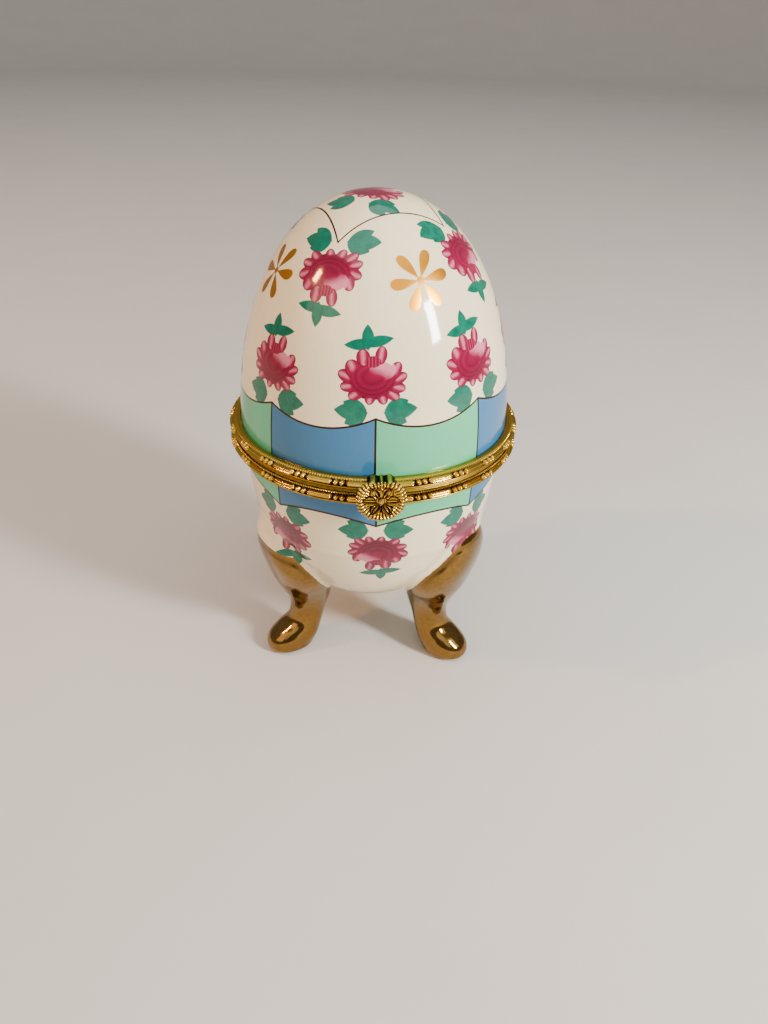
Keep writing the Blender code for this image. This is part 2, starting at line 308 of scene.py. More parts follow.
# A new material: its start for expressions, its shader node and its place on the piece in mm
def newMaterial(name, settings):
    material = bpy.data.materials.new(name)
    material.use_nodes = True
    tree = material.node_tree
    shader = tree.nodes["Principled BSDF"]
    for key, value in settings.items():
        shader.inputs[key].default_value = value
    start = Signal(tree)
    place = start.make("ShaderNodeTexCoord", None, None, "Object")
    scaled = start.make("ShaderNodeVectorMath", {"operation": "SCALE"}, {0: place, "Scale": 1 / mm})
    return material, start, shader, scaled


def splitXyz(vector):
    node = vector.make("ShaderNodeSeparateXYZ", None, {0: vector}).socket.node
    return [Signal(vector.tree, output) for output in node.outputs]


def noiseOf(place, scale, detail=2.0, roughness=0.5):
    sockets = {"Vector": place, "Scale": scale, "Detail": detail, "Roughness": roughness}
    return place.make("ShaderNodeTexNoise", None, sockets, "Fac")


def attributeOf(start, name):
    return start.make("ShaderNodeAttribute", {"attribute_name": name}, None, "Fac")


def feed(shader, socketName, signal):
    signal.tree.links.new(signal.socket, shader.inputs[socketName])


def addBump(start, shader, height, strength, distance):
    sockets = {"Height": height, "Strength": strength, "Distance": distance}
    feed(shader, "Normal", start.make("ShaderNodeBump", None, sockets))


# PRINTED PATTERN, laid out in mm

motif = {
    # rose petals: centre, half length and half width, and the direction they point in
    "fringe": (
        ((-1.0, -7.3), (1.9, 1.15), 260),
        ((-3.5, -6.8), (2.0, 1.3), 218),
        ((-4.8, -5.6), (2.0, 1.2), 190),
        ((-5.2, -3.9), (2.05, 1.3), 158),
        ((-4.1, -2.6), (2.0, 1.6), 115),
        ((1.1, -7.4), (1.85, 1.15), 288),
        ((2.9, -7.0), (1.95, 1.2), 316),
        ((3.7, -5.9), (2.0, 1.15), 342),
        ((4.0, -4.5), (2.0, 1.15), 20),
        ((3.6, -3.0), (1.8, 1.2), 65),
    ),
    "body": ((-0.6, -4.5), (4.9, 3.8), 0),
    "pale": ((1.2, -2.9), (2.6, 1.9), 8),
    "cup": (((-2.3, -0.4), (1.6, 1.35), 96), ((1.0, -0.05), (1.7, 1.15), 80)),
    "heart": ((-0.55, -1.2), (1.7, 1.15), 0),
    # single lobes of the leaves: base, tip and half width
    "sprig": (
        ((0.4, 2.1), (-5.9, 1.8), 1.05),
        ((-2.8, 2.0), (3.4, 2.9), 1.05),
        ((-1.4, 0.8), (-1.4, 5.6), 1.15),
    ),
    "leaf": (
        ((1.4, -10.7), (8.0, -10.3), 1.7),
        ((1.6, -10.3), (6.2, -8.6), 1.4),
        ((1.6, -10.9), (6.0, -12.9), 1.4),
    ),
    "flowerReach": 5.9,
    "flowerWidth": 3.4,
    "flowerTurn": 3.0,
    "lineWidth": 0.36,
    "panels": 8,  # round each half of the egg, blue and mint in turn
    "bumpHeight": 0.06 * mm,
    "bumpStrength": 0.25,
}
panelTurn = 360 / motif["panels"]

inks = {
    "glaze": tint(243, 230, 195),
    "glazeWash": tint(238, 222, 182),
    "roseDark": tint(74, 4, 28),
    "roseMid": tint(138, 18, 60),
    "roseLight": tint(216, 128, 152),
    "leafDark": tint(2, 74, 58),
    "leafLight": tint(12, 118, 94),
    "blue": tint(46, 108, 152),
    "mint": tint(84, 182, 136),
    # gold lines darker than the gold flowers: a painted dark reflection
    "goldLine": tint(64, 34, 12),
    "goldLeaf": tint(236, 158, 34),
    # the legs' gold, darker than the flowers': partly its own colour, partly a painted dark reflection
    "lustreDark": tint(120, 90, 42),
    "lustreLight": tint(154, 118, 57),
    # painted shade in the knees' crease
    "lustreCrease": tint(104, 76, 34),
}


# How far inside an ellipse a point is, 1 at its centre and 0 on its outline, and how far across
# it the point lies, 0 on its long axis and 1 or -1 at its sides
def insideOval(u, v, centre, size, lean):
    c, s = math.cos(math.radians(lean)), math.sin(math.radians(lean))
    along = u.times(c / size[0], v.times(s / size[0], -(centre[0] * c + centre[1] * s) / size[0]))
    across = u.times(-s / size[1], v.times(c / size[1], (centre[0] * s - centre[1] * c) / size[1]))
    return 1 - across.math("MULTIPLY_ADD", across, across, along * along), across


# 1 inside a lobe that is pointed at its base and at its tip: its edge is a parabola on each side
def insideLobe(u, v, base, tip, width):
    dx, dy = tip[0] - base[0], tip[1] - base[1]
    length = math.hypot(dx, dy)
    share = u.times(dx / length**2, v.times(dy / length**2, -(base[0] * dx + base[1] * dy) / length**2))
    away = abs(u.times(-dy / length, v.times(dx / length, (base[0] * dy - base[1] * dx) / length)))
    room = share * (1 - share) * (4 * width) - away
    return room.rise(-0.06, 0.10)


# Lays petals over a rose: each is dark at its outline, with a pale streak along its middle
def paintPetals(u, v, petals, mask, tone):
    for centre, size, lean in petals:
        level, across = insideOval(u, v, centre, size, lean)
        inside = level.rise(-0.03, 0.12)
        streak = (1 - abs(across) * 2.0).upper(0.0)
        light = streak.times(0.52, 0.36) * level.rise(-0.05, 0.42)
        mask = inside if mask is None else mask.upper(inside)
        tone = light if tone is None else inside.blend(tone, light)
    return mask, tone


# The rose: a fringe of petals, a body with a pale petal that fades to the lower left, and a cup
# of two petals with a striped heart. Gives its mask and its tone, 0 darkest red to 1 palest pink.
def paintRose(u, v):
    mask, tone = paintPetals(u, v, motif["fringe"], None, None)
    level, across = insideOval(u, v, *motif["body"])
    mask = mask.upper(level.rise(0.0, 0.1))
    folds = abs((level + across * 0.3).fold(0.3)).times(0.9, -0.1)
    tone = level.rise(0.05, 0.4).blend(tone, v.times(0.03, 0.42) + folds)
    level, across = insideOval(u, v, *motif["pale"])
    fade = v.times(0.34, u.times(0.16, 1.45))
    tone = (level.rise(0.0, 0.14) * fade.rise(0.0, 1.0)).blend(tone, 0.96)
    mask, tone = paintPetals(u, v, motif["cup"], mask, tone)
    level, across = insideOval(u, v, *motif["heart"])
    stripes = abs(u.fold(0.62)).times(-0.9, 0.5)
    tone = level.rise(0.0, 0.35).blend(tone, stripes)
    return mask.upper(level.rise(0.0, 0.2)), tone


# The leaves of one motif: three lobes over the rose, and a pair of three-lobed leaves under it
def paintLeaves(u, v):
    mask = None
    for base, tip, width in motif["sprig"]:
        lobe = insideLobe(u, v, base, tip, width)
        mask = lobe if mask is None else mask.upper(lobe)
    folded = abs(u)
    for base, tip, width in motif["leaf"]:
        mask = mask.upper(insideLobe(folded, v, base, tip, width))
    return mask


# A flower of six drop-shaped petals: the angle is folded into one petal
def paintGoldFlower(u, v):
    reach = (u * u + v * v) ** 0.5
    turn = v.math("ARCTAN2", v, u) - math.radians(motif["flowerTurn"])
    turn = turn.fold(math.radians(60))
    along = reach * turn.math("COSINE", turn) / motif["flowerReach"]
    across = abs(reach * turn.math("SINE", turn))
    half = (along ** 1.5) * ((1 - along).upper(0.0) ** 0.5) * motif["flowerWidth"]
    petals = (half - across).rise(-0.03, 0.09)
    heart = reach.rise(0.75, 0.55)
    return petals.upper(heart)


# The band between the seam and a scalloped line: the line's height sags as the square of the
# distance from the middle of a panel, and a thin line parts the panels. Gives the coloured area,
# the lines and the panels' colour.
def paintBand(turn, height, mmPerDegree, outside, piece):
    share = (turn - panelTurn / 2).fold(panelTurn) / (panelTurn / 2)
    overLine = height - (share * share).times(piece["bandSag"], piece["bandCusp"] - piece["bandSag"])
    panel = overLine.rise(0.05, -0.05) * outside
    isMint = turn.math("FLOORED_MODULO", turn, 2 * panelTurn).rise(panelTurn + 0.001, panelTurn - 0.001)
    thin, thick = motif["lineWidth"] / 2 + 0.07, motif["lineWidth"] / 2 - 0.03
    divider = abs(turn.fold(panelTurn) * mmPerDegree).rise(thin, thick) * panel
    lines = abs(overLine).rise(thin, thick).upper(divider)
    return panel, lines, isMint.mix(inks["blue"], inks["mint"])


# Colours of one half of the egg, laid over each other: glaze, band, leaves, roses, lines, gold
def finishPattern(place, rose, tone, leaves, gold, line, panel, panelColour):
    speck = noiseOf(place, 5.5, 2.0, 0.7)
    wash = noiseOf(place, 0.7, 3.0, 0.6)
    colour = wash.mix(inks["glaze"], inks["glazeWash"])
    colour = panel.mix(colour, panelColour)
    leafTone = wash.times(1.1, -0.1) + speck * 0.2
    leafColour = leafTone.ramp((0.1, inks["leafDark"]), (0.9, inks["leafLight"]))
    colour = leaves.mix(colour, leafColour)
    roseTone = speck.times(0.22, tone - 0.11)
    roseColour = roseTone.ramp((0.0, inks["roseDark"]), (0.38, inks["roseMid"]), (1.0, inks["roseLight"]))
    colour = rose.mix(colour, roseColour)
    # the gold lines' dark brown is a painted dark reflection
    colour = line.mix(colour, inks["goldLine"])
    if gold is not None:
        colour = gold.mix(colour, inks["goldLeaf"])
    return colour, speck, wash


# The glaze's faint waves, with ink and metal a hair proud of it, as a bump
def glazeBump(start, shader, waves, rose, leaves, panel, metal, metalRise, speck):
    ink = rose.upper(leaves).upper(panel) * 0.4
    relief = waves + ink * 0.02 + metal * metalRise + speck * 0.01
    addBump(start, shader, relief, motif["bumpStrength"], motif["bumpHeight"])


# PORCELAIN LID

lidShell = {
    "columns": 288,
    "outerRows": 110,
    "innerRows": 60,
    "patternTurn": 2.1,  # degrees that the print stands to the left of the clasp
    "printTilt": (0.9, 0.016),  # the print sits askew: mm at the seam, and more for each mm up
    "printShift": (1.64, 0.55), # where the print's own pole is, left of and in front of the top
    "bandCusp": 14.15,  # arc length from the seam, mm
    "bandSag": 2.35,
    "lowerRow": 26.0,
    "upperRow": 36.0,
    "flowerRow": 38.4,
    "starNear": 10.2,
    "starBow": 1.4,
    "starHalf": 11.66,
    "starTurn": 21.3,
    "topTurn": -25.7,
    "topPlace": (-0.96, -4.94),
    "sideShift": 0.6,  # how far the upper roses and gold flowers stand off the dividers
    "lowerEnd": (28.8, 32.3),  # where the lower motif ends, beside its sprig and over it
    "sprigHalf": 4.9,
}


# A quarter of a superellipse from pole to equator, as radius and rise
def eggCurve(radius, rise, fullness, angle):
    across = radius * np.maximum(np.cos(angle), 0) ** (2 / fullness[0])
    return across, rise * np.sin(angle) ** (2 / fullness[1])


# Arc length along a half egg's outside from the seam, read at given rises
def arcAt(radius, rise, fullness, heights):
    across, along = eggCurve(radius, rise, fullness, np.linspace(0, math.pi / 2, 4001))
    steps = np.hypot(np.diff(across), np.diff(along))
    arc = np.concatenate([[0], np.cumsum(steps)])
    return np.interp(heights, along, arc)


# A half egg's profile from its pole to its edge, with the edge at a set distance from the seam
def halfProfile(radius, rise, fullness, count):
    edgeAngle = math.asin((egg["edge"] / rise) ** (fullness[1] / 2))
    across, along = eggCurve(radius, rise, fullness, np.linspace(math.pi / 2, edgeAngle, count))
    across[0] = 0
    return across, along


# The lid's shell: the outer half egg's profile down to its edge and the inner one's back up,
# turned as one closed surface, with the outside's arc length stored for the print
def lidMesh():
    wall = egg["wall"]
    outerR, outerZ = halfProfile(*lidHalf, lidShell["outerRows"])
    inner = (egg["lidRadius"] - wall, egg["lidRise"] - wall, egg["lidFullness"])
    innerR, innerZ = halfProfile(*inner, lidShell["innerRows"])
    radius = np.concatenate([outerR, innerR[::-1]])
    rise = np.concatenate([outerZ, innerZ[::-1]])
    points = turned(np.stack([radius, seam + rise], 1), lidShell["columns"])
    arc = np.full(radius.shape, -20.0)
    arc[: len(outerR)] = arcAt(*lidHalf, outerZ) / mm
    arcs = np.repeat(arc[:, None], lidShell["columns"], 1)
    return gridMesh("lid_shell_visual", points, values={"arc": arcs})


glazeSettings = {
    "Roughness": 0.10,
    "IOR": 1.46,
    "Coat Weight": 0.2,
    "Coat Roughness": 0.03,
}


# The lid's print: a band of coloured panels, a row of roses over it, roses and gold flowers in
# turn above them, and a four-cornered gold line round one more rose on the crown
def lidPorcelain():
    material, start, shader, place = newMaterial("porcelainLid", glazeSettings)
    x, y, z = splitXyz(place)
    arc = attributeOf(start, "arc")
    total = float(arcAt(*lidHalf, egg["lidRise"])) / mm
    share = (arc / total) ** 2.0
    shiftX, shiftY = lidShell["printShift"]
    px = share.times(shiftX, x)
    py = share.times(shiftY, y)
    radius = (px * px + py * py) ** 0.5
    turn = px.math("ARCTAN2", px, -py).times(math.degrees(1), lidShell["patternTurn"])
    tilt, more = lidShell["printTilt"]
    lift = arc.times(more, tilt) * turn.math("SINE", turn * math.radians(1))
    level = arc - lift
    mmPerDegree = radius * math.radians(1)

    outside = arc.rise(0.0, 0.5)
    panel, lines, panelColour = paintBand(turn, level, mmPerDegree, outside, lidShell)

    # the crown's star, in a flat map round the print's own pole
    away = total - arc
    flat = (x * x + y * y) ** 0.5
    patternTurn = math.radians(lidShell["patternTurn"])
    turnC, turnS = math.cos(patternTurn), math.sin(patternTurn)
    right = (x * turnC - y * turnS) * away / flat.upper(0.01) + shiftX
    front = (-y * turnC - x * turnS) * away / flat.upper(0.01) - shiftY
    c, s = math.cos(math.radians(lidShell["starTurn"])), math.sin(math.radians(lidShell["starTurn"]))
    p, q = abs(right.times(s, front * c)), abs(right.times(c, front * -s))
    far, near = p.upper(q), p.lower(q)
    bow = (near * near).times(lidShell["starBow"] / lidShell["starHalf"] ** 2, lidShell["starNear"])
    overStar = far - bow
    half = motif["lineWidth"] / 2
    star = abs(overStar).rise(half + 0.04, half - 0.06)
    inStar = overStar.rise(0.01, -0.01)

    # each point is read in the frame of the motif that it belongs to
    lowerU = turn.fold(panelTurn) * mmPerDegree
    lowerV = level - lidShell["lowerRow"]
    upperU = (turn + panelTurn / 2).fold(2 * panelTurn) * mmPerDegree + lidShell["sideShift"]
    upperV = lidShell["upperRow"] - level
    c, s = math.cos(math.radians(lidShell["topTurn"])), math.sin(math.radians(lidShell["topTurn"]))
    topU = right.times(c, front.times(-s, lidShell["topPlace"][0]))
    topV = right.times(-s, front.times(-c, lidShell["topPlace"][1]))
    narrow = abs(lowerU).rise(lidShell["sprigHalf"] + 0.01, lidShell["sprigHalf"] - 0.01)
    beside, above = (level.rise(end + 0.01, end - 0.01) for end in lidShell["lowerEnd"])
    inLower = beside.upper(above * narrow)
    u = inStar.blend(inLower.blend(upperU, lowerU), topU)
    v = inStar.blend(inLower.blend(upperV, lowerV), topV)
    rose, tone = paintRose(u, v)
    leaves = paintLeaves(u, v)

    flowerU = (turn - panelTurn / 2).fold(2 * panelTurn) * mmPerDegree - lidShell["sideShift"]
    flower = paintGoldFlower(flowerU, level - lidShell["flowerRow"])

    rose, leaves, flower = rose * outside, leaves * outside, flower * outside
    line = lines.upper(star) * outside
    colour, speck, wash = finishPattern(place, rose, tone, leaves, flower, line, panel, panelColour)
    feed(shader, "Base Color", colour)
    gilt = line.upper(flower)
    feed(shader, "Metallic", gilt)
    feed(shader, "Roughness", gilt.blend(wash.times(0.06, 0.06), 0.28))
    waves = noiseOf(place, 0.16, 2.0) * 3.0
    glazeBump(start, shader, waves, rose, leaves, panel, gilt, 0.02, speck)
    return material


# PORCELAIN BOWL AND LEGS, one casting

bowl = {
    "columns": 288,
    "outerRows": 100,
    "innerRows": 50,
    "legCount": 3,
    "legTurn": -5.0,  # degrees, from the leg straight behind
    "legRows": 130,
    "legColumns": 84,
    "legSquareness": 2.2,
    "kneeDrop": 20.1 * mm,
    "fillet": 1.8 * mm,  # width of the soft hollow where a knee leaves the bowl
    "giltMargin": 0.25,  # gold beyond the knee, mm
    # the gold's upper end in mm below the seam, on the rear, left and right leg, and how much
    # lower it is to the leg's sides, per square mm
    "goldTops": (20.0, 24.0, 20.2),
    "goldBow": 0.02,
    "crease": (1.5, 0.55),  # crease from the gold's edge, and its width, mm; it dents the bump and is painted shade on the gold
    "creaseEnd": (28, 34),  # mm below the seam between which the crease fades out
    "settleSteps": 6,  # passes that draw the joint's points onto the soft shape
    "settleMove": 0.3 * mm,  # furthest that one pass moves a point
    "settleFloor": 0.15 * seam, # points lower than this stay where they are
    "bareSole": 0.12 * mm,  # height of the bare edge round a sole
    "deeperRose": 0.1,  # painted shade: how much darker the bowl's roses are than the lid's, to take back the pale floor's reflection in the glaze
    "patternTurn": 1.1,
    "bandCusp": 10.3,
    "bandSag": 2.15,
    "row": 22.1,
}

# Height as a share of the leg's, then heel radius, toe radius and half width as shares of the
# bowl's radius
legSections = (
    (0.00, 0.65, 0.92, 0.11),
    (0.02, 0.60, 0.97, 0.15),
    (0.06, 0.56, 0.99, 0.165),
    (0.105, 0.53, 0.965, 0.17),
    (0.15, 0.51, 0.90, 0.16),
    (0.205, 0.49, 0.80, 0.147),
    (0.285, 0.46, 0.76, 0.143),
    (0.39, 0.42, 0.78, 0.18),
    (0.48, 0.40, 0.84, 0.235),
    (0.57, 0.41, 0.90, 0.30),
    (0.66, 0.45, 0.94, 0.35),
    (0.755, 0.51, 0.975, 0.365),
    (0.845, 0.59, 0.995, 0.31),
    (0.925, 0.675, 0.995, 0.245),
    (0.975, 0.75, 0.98, 0.17),
    (1.00, 0.82, 0.95, 0.09),
    (1.03, 0.86, 0.89, 0.03),
)


# A leg's section at given heights: centre and reach along its own direction, and half width
def legAt(height):
    shares, heel, toe, half = np.array(legSections).T
    place = height / (seam - bowl["kneeDrop"])
    inner, outer = smoothTable(place, shares, heel), smoothTable(place, shares, toe)
    width = smoothTable(place, shares, half)
    scale = egg["bowlRadius"]
    return scale * (inner + outer) / 2, scale * (outer - inner) / 2, scale * width


# A leg: superellipses stacked from the sole to the knee at +Y, then turned about the Z axis
def legMesh(turn):
    top = (seam - bowl["kneeDrop"]) * legSections[-1][0]
    share = np.linspace(0, 1, bowl["legRows"])
    height = top * share**1.15
    centre, reach, width = (a[:, None] for a in legAt(height))
    angle = np.linspace(0, math.tau, bowl["legColumns"], endpoint=False)
    c, s = superOval(angle, bowl["legSquareness"])
    tall = np.repeat(height[:, None], len(angle), 1)
    points = np.stack([s * width, centre + c * reach, tall], 2)
    return gridMesh("leg", rotated(closeEnds(points), turn))


# Distance to the bowl's outside, about: the superellipse's equation over its slope
def bowlDistance(points):
    a, b = egg["bowlFullness"]
    r = np.maximum(np.hypot(points[:, 0], points[:, 1]), 1e-6) / egg["bowlRadius"]
    z = np.maximum((seam - points[:, 2]) / egg["bowlDepth"], 1e-4)
    value = r**a + z**b - 1
    slope = np.hypot(a * r ** (a - 1) / egg["bowlRadius"], b * z ** (b - 1) / egg["bowlDepth"])
    return value / np.maximum(slope, 1e-6)


# Distance to a leg's outside, about: its section's oval equation over its slope in space
def legDistance(points, turn):
    local = rotated(points, -turn)

    def oval(p):
        centre, reach, width = legAt(p[:, 2])
        n = bowl["legSquareness"]
        return (np.abs((p[:, 1] - centre) / reach) ** n + np.abs(p[:, 0] / width) ** n) ** (1 / n) - 1

    return oval(local) / np.maximum(np.linalg.norm(slopeOf(oval, local), axis=1), 1e-6)


def legTurns():
    count = bowl["legCount"]
    return [math.radians(360 * i / count + bowl["legTurn"]) for i in range(count)]


def legsDistance(points):
    return np.min([legDistance(points, turn) for turn in legTurns()], axis=0)


# Gold in mm inside its edge, and how deep the crease under each knee's gold edge is, 0 to 1; the crease
# dents the bump and darkens the gold as painted shade. The gold follows each leg's outline and stops at
# its own height, which dips to the leg's sides.
def legPaint(points):
    gilt, crease = np.full(len(points), -5.0), np.zeros(len(points))
    down = (seam - points[:, 2]) / mm
    proud = bowlDistance(points) / mm
    (place, width), (start, end) = bowl["crease"], bowl["creaseEnd"]
    for turn, top in zip(legTurns(), bowl["goldTops"]):
        across = (points[:, 0] * math.cos(turn) + points[:, 1] * math.sin(turn)) / mm
        inside = bowl["giltMargin"] - np.clip(legDistance(points, turn) / mm, 0, 5)
        below = down - top - bowl["goldBow"] * across**2
        gilt = np.maximum(gilt, np.minimum(inside, below))
        edge = np.minimum(np.maximum(proud, 0), np.maximum(below, 0))
        fold = np.exp(-(((edge - place) / width) ** 2)) * np.clip((end - down) / (end - start), 0, 1)
        crease = np.maximum(crease, fold * np.clip(inside + 1, 0, 1) * (down > top - 1))
    return gilt, crease


# The two shapes as one, with a hollow of the fillet's width where they meet
def softUnion(points):
    a, b = bowlDistance(points), legsDistance(points)
    share = np.maximum(bowl["fillet"] - np.abs(a - b), 0) / bowl["fillet"]
    return np.minimum(a, b) - share**2 * bowl["fillet"] / 4


# The bowl: a turned half egg with the legs joined on and its hollow cut out. The points near the
# joint then move down the slope of the soft union's distance, until they lie on it.
def bowlMesh():
    wall = egg["wall"]
    outerR, outerZ = halfProfile(*bowlHalf, bowl["outerRows"])
    inner = (egg["bowlRadius"] - wall, egg["bowlDepth"] - wall, egg["bowlFullness"])
    innerR, innerZ = halfProfile(*inner, bowl["innerRows"])
    outer = np.stack([np.append(outerR, 0), seam - np.append(outerZ, outerZ[-1])], 1)
    solid = gridMesh("bowl_solid", turned(outer, bowl["columns"]))
    over = seam + wall
    inner = np.stack([np.append(innerR, [innerR[-1], 0]), np.append(seam - innerZ, [over, over])], 1)
    cavity = gridMesh("bowl_cavity", turned(inner, bowl["columns"] // 2))
    mesh = combine(solid, [legMesh(turn) for turn in legTurns()], "UNION")
    mesh = combine(mesh, [cavity], "DIFFERENCE")
    points = readPoints(mesh)
    away, legAway = bowlDistance(points), legsDistance(points)
    wide = bowl["fillet"]
    nearCrease = (np.abs(away) < wide) & (np.abs(legAway) < wide) & (points[:, 2] > bowl["settleFloor"])
    for step in range(bowl["settleSteps"]):
        p = points[nearCrease]
        slope = slopeOf(softUnion, p)
        move = softUnion(p)[:, None] * slope / np.maximum((slope**2).sum(1), 0.2)[:, None]
        points[nearCrease] = p - np.clip(move, -bowl["settleMove"], bowl["settleMove"])
    writePoints(mesh, points)
    inside = bowlDistance(points) < -wall / 2
    arc = arcAt(*bowlHalf, seam - points[:, 2]) / mm
    setValues(mesh, "arc", np.where(inside, -20.0, arc))
    gilt, crease = legPaint(points)
    gilt[inside & (points[:, 2] > egg["wall"] + seam - egg["bowlDepth"])] = -5
    gilt[points[:, 2] < bowl["bareSole"]] = -0.5
    setValues(mesh, "gilt", gilt)
    setValues(mesh, "crease", crease)
    return mesh


# The bowl's print: panels that hang from the rim, a row of roses the other way up, and gold legs
def bowlPorcelain():
    material, start, shader, place = newMaterial("porcelainBowl", glazeSettings)
    x, y, z = splitXyz(place)
    arc = attributeOf(start, "arc")
    gilt = attributeOf(start, "gilt")
    radius = (x * x + y * y) ** 0.5
    turn = x.math("ARCTAN2", x, -y).times(math.degrees(1), bowl["patternTurn"])
    mmPerDegree = radius * math.radians(1)
    outside = arc.rise(0.0, 0.5)
    panel, lines, panelColour = paintBand(turn, arc, mmPerDegree, outside, bowl)
    u = -turn.fold(panelTurn) * mmPerDegree
    v = arc - bowl["row"]
    rose, tone = paintRose(u, v)
    leaves = paintLeaves(u, v)
    brush = noiseOf(place, 1.1, 3.0, 0.6)
    gold = brush.times(0.3, gilt - 0.15).rise(-0.04, 0.04)
    rose, leaves = rose * outside, leaves * outside
    line = lines * outside
    # painted shade: the bowl's roses made darker than the lid's
    tone = tone - bowl["deeperRose"]
    colour, speck, wash = finishPattern(place, rose, tone, leaves, None, line, panel, panelColour)
    crease = attributeOf(start, "crease")
    # the legs' gold between two darkened golds by brush noise: partly its own colour, partly a painted
    # dark reflection
    lustre = brush.ramp((0.2, inks["lustreDark"]), (0.8, inks["lustreLight"]))
    # painted shade: the lustre darkens along the knee's crease
    lustre = crease.mix(lustre, inks["lustreCrease"])
    feed(shader, "Base Color", gold.mix(colour, lustre))
    metal = line.upper(gold)
    feed(shader, "Metallic", metal)
    burnish = gold.blend(0.28, brush.times(0.10, 0.05))
    feed(shader, "Roughness", metal.blend(wash.times(0.06, 0.06), burnish))
    waves = noiseOf(place, 0.16, 2.0) * 3.0 - crease * 3.0
    glazeBump(start, shader, waves, rose, leaves, panel, metal, 0.05, speck)
    return material


# BRASS RIMS

rims = {
    "halfGap": 0.15 * mm,  # from the seam to a rim's edge
    "flange": 0.88 * mm,  # metal under the porcelain's edge
    "band": 31.0 * mm,  # radius of the plain band
    "relief": 1.0 * mm,  # from the band out to the beads' crests
    "repeats": 24,
    "columnsPerRepeat": 60,
    "rows": 46,
    "seat": 0.3 * mm,  # groove between the porcelain and the metal
    "bead": 0.56 * mm,  # radius of a bead
    "beadSpacing": 0.62 * mm,  # from the pair's middle to each bead
    "bar": 0.56 * mm,  # radius of a bar
    "barHalf": 2.60 * mm,
    "ribs": 0.37 * mm,  # from rib to rib on a bar
    "rope": 0.21 * mm,
    "strands": 15,  # of the rope in one repeat
    "lip": 0.2 * mm,
    "edgeStep": 0.25 * mm,  # ring of plain metal inside the strip's edge
    "plain": 0.55,  # painted light level of the flat metal
}

# Each rim: the height of its far edge and of its beads over the seam, where its rope lies above
# the beads, and how far its plain metal leans in at places above them
lidRim = {
    "far": 2.4 * mm,
    "beads": 1.43 * mm,
    "rope": 0.76 * mm,
    "lean": ((0.52, 0.0), (0.62, -0.12), (0.80, -0.40), (0.90, -0.62), (0.97, -0.90)),
}
baseRim = {
    "far": -3.3 * mm,
    "beads": -2.01 * mm,
    "rope": 0.98 * mm,
    "lean": ((0.60, 0.0), (1.15, -0.04), (1.30, -0.22), (1.70, -0.34), (1.86, -0.55)),
}


# How far a strip stands out of its band, in metres, and its painted light: a painted highlight where the
# relief stands out, painted shade in its hollows, and the leaning ledge at the rim's top painted
# brighter. turn counts the repeats round the rim, with a pair of beads at each whole number; up is the
# height over the beads' row.
# A round form's height is the root of one minus its squared distance.
def stripRelief(turn, up, rim):
    pitch = math.tau * rims["band"] / rims["repeats"]
    along = np.abs(turn - np.round(turn)) * pitch
    bead = 1 - ((along - rims["beadSpacing"]) ** 2 + up**2) / rims["bead"] ** 2
    fromBar = np.maximum(pitch / 2 - along - (rims["barHalf"] - rims["bar"]), 0)
    bar = 1 - (fromBar**2 + up**2) / rims["bar"] ** 2
    ribs = 0.12 * np.cos(math.tau * up / rims["ribs"]) * np.clip(bar * 3, 0, 1)
    rope = 1 - ((up - rim["rope"]) / rims["rope"]) ** 2
    strands = 0.62 + 0.38 * np.cos(math.tau * (turn * rims["strands"] + up / (0.55 * mm)))
    lip = 1 - ((up - (rim["lowest"] + rims["lip"])) / rims["lip"]) ** 2
    carved = np.maximum(np.sqrt(np.maximum(bead, 0)), np.sqrt(np.maximum(bar, 0)) * 0.78 + ribs)
    carved = np.maximum(carved, 0.36 * np.sqrt(np.maximum(rope, 0)) * strands)
    carved = np.maximum(carved, 0.26 * np.sqrt(np.maximum(lip, 0)))
    places, leans = np.array(rim["lean"]).T
    relief = np.minimum(carved + np.interp(up / mm, places, leans), 1.0) * rims["relief"]
    # the second value is painted light: crests lit, hollows shaded, the top ledge painted brighter
    return relief, np.clip(carved * 1.6, 0, 1) + 0.3 * (up / mm > places[1] + 0.1)


# A rim: the strip's relief outside, then the flange and the seat inside, as one closed ring
def rimMesh(name, radius, rim):
    side = 1 if rim["far"] > 0 else -1
    columns = rims["repeats"] * rims["columnsPerRepeat"]
    turn = np.arange(columns) / rims["columnsPerRepeat"]
    near, far = side * rims["halfGap"], rim["far"]
    rim["lowest"] = min(near, far) - rim["beads"]
    height = np.linspace(max(near, far), min(near, far), rims["rows"])
    relief, bright = stripRelief(turn[None], height[:, None] - rim["beads"], rim)
    flange = near + side * rims["flange"]
    seat = radius + rims["seat"]
    mouth = egg["lidRadius"] - egg["wall"]
    edge = rims["band"] - rims["edgeStep"]
    inside = [(edge, near), (mouth, near), (mouth, flange), (seat, flange), (seat, far)]
    if side < 0:
        inside.reverse()
    radii = np.concatenate([rims["band"] + relief, [np.full(columns, r) for r, h in inside]])
    heights = seam + np.concatenate([height, [h for r, h in inside]])
    angle = math.tau * np.arange(columns) / columns
    tall = np.repeat(heights[:, None], columns, 1)
    points = np.stack([radii * np.cos(angle), radii * np.sin(angle), tall], 2)
    raised = np.concatenate([bright, np.full((len(inside), columns), rims["plain"])])
    return gridMesh(name, points, wrapRows=True, values={"raised": raised})


# Each brass: its lit and shaded colour, the range of painted light from shade to highlight, its polish
brasses = {
    "rimBrass": (tint(212, 174, 68), tint(30, 20, 4), 0.0, 0.65, 0.12),
    "claspBrass": (tint(220, 186, 84), tint(20, 13, 3), 0.05, 0.65, 0.12),
    "hingeBrass": (tint(200, 148, 62), tint(70, 42, 14), 0.0, 0.5, 0.28),
}
warmStain = tint(206, 160, 58)


